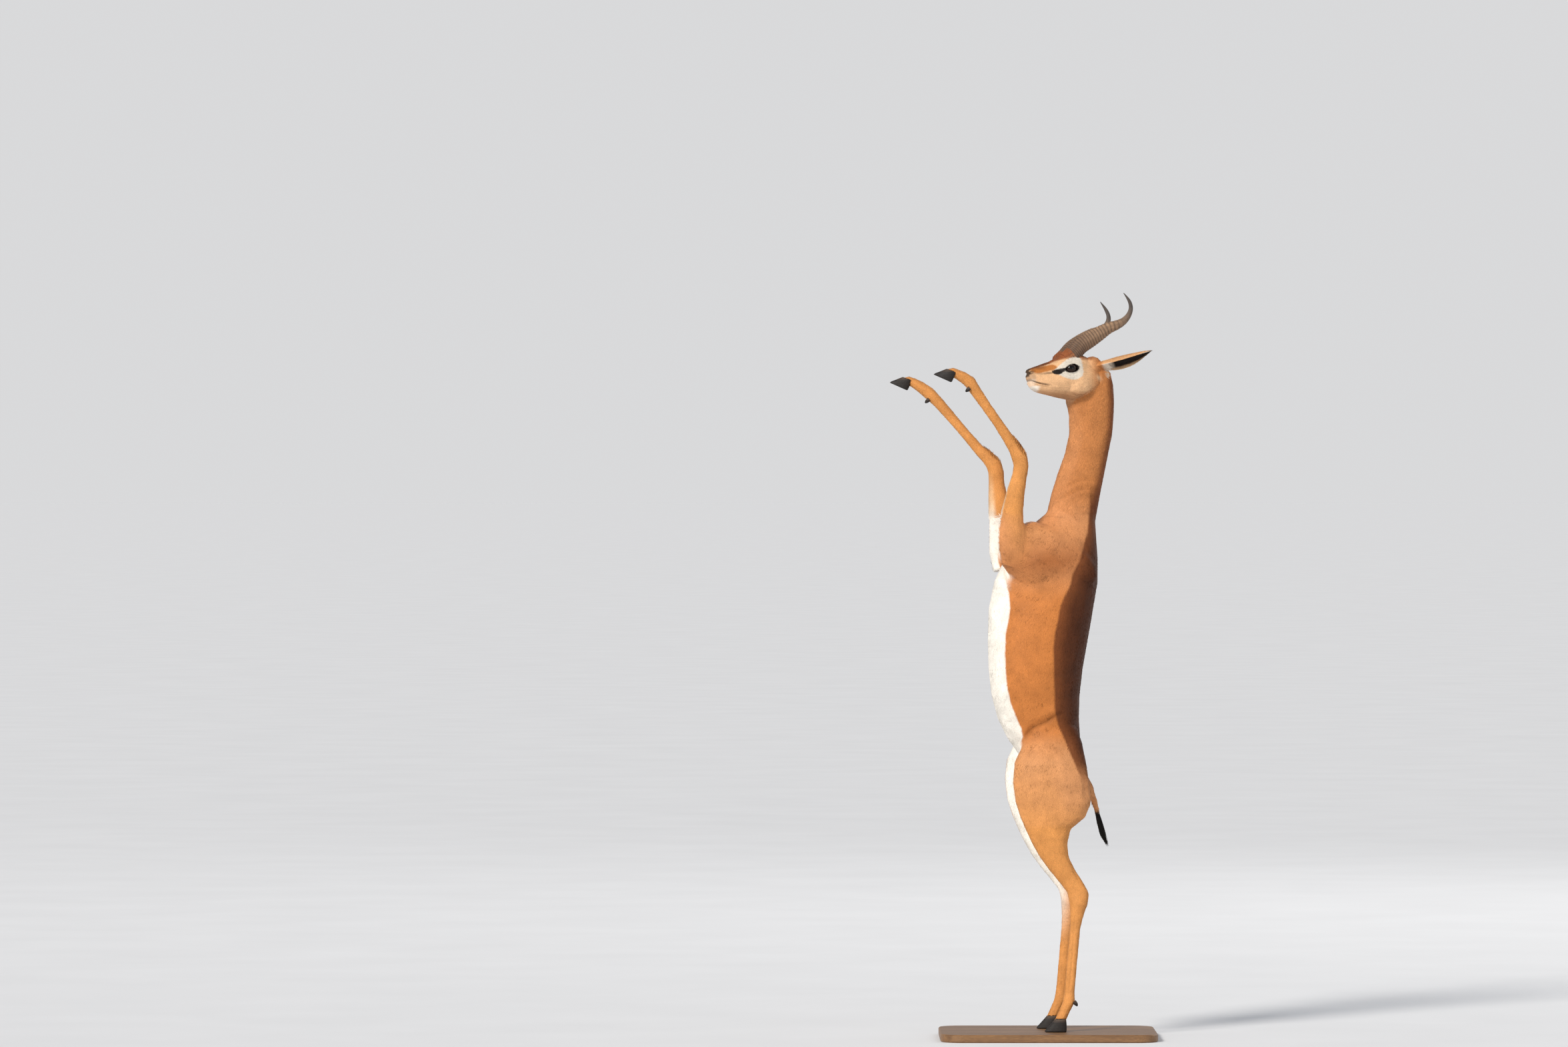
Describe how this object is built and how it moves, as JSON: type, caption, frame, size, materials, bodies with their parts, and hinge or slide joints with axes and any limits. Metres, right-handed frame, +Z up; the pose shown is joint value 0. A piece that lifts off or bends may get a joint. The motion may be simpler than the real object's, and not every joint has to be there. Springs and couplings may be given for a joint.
{
  "type": "gerenuk model",
  "caption": "Life-size male gerenuk reared up on its hind legs to browse, long neck raised, forelegs stretched forwards, ringed horns swept back, standing on a flat rounded base.",
  "frame": {"origin": "middle of the footprint, at the underside of the base", "axes": "+Z up; the animal faces -X; its left side is towards -Y"},
  "size_m": [0.7376, 0.42, 2.065],
  "materials": {
    "coat": "short smooth fur, tan with a dark rufous back and a white belly",
    "tail_tuft": "black hair",
    "horn": "ringed grey-brown horn, smooth at the tip",
    "hoof": "dark horn",
    "eye": "wet gloss",
    "stand": "satin"
  },
  "bodies": {
    "root": {"torso": "coat", "neck": "coat", "head": "coat", "tail": "coat", "ear_left": "coat", "eye_left": "eye", "horn_left": "horn", "forearm_left": "coat", "fore_cannon_left": "coat", "fore_pastern_left": "coat", "thigh_left": "coat", "shank_left": "coat", "hind_cannon_left": "coat", "hind_pastern_left": "coat", "hind_hoof_outer_left": "hoof", "fore_hoof_outer_left": "hoof", "hind_dewclaw_outer_left": "hoof", "fore_dewclaw_outer_left": "hoof", "hind_hoof_inner_left": "hoof", "fore_hoof_inner_left": "hoof", "hind_dewclaw_inner_left": "hoof", "fore_dewclaw_inner_left": "hoof", "ear_right": "coat", "eye_right": "eye", "horn_right": "horn", "forearm_right": "coat", "fore_cannon_right": "coat", "fore_pastern_right": "coat", "thigh_right": "coat", "shank_right": "coat", "hind_cannon_right": "coat", "hind_pastern_right": "coat", "hind_hoof_outer_right": "hoof", "fore_hoof_outer_right": "hoof", "hind_dewclaw_outer_right": "hoof", "fore_dewclaw_outer_right": "hoof", "hind_hoof_inner_right": "hoof", "fore_hoof_inner_right": "hoof", "hind_dewclaw_inner_right": "hoof", "fore_dewclaw_inner_right": "hoof", "tail_tuft": "tail_tuft", "stand_base": "stand"}
  },
  "joints": []
}
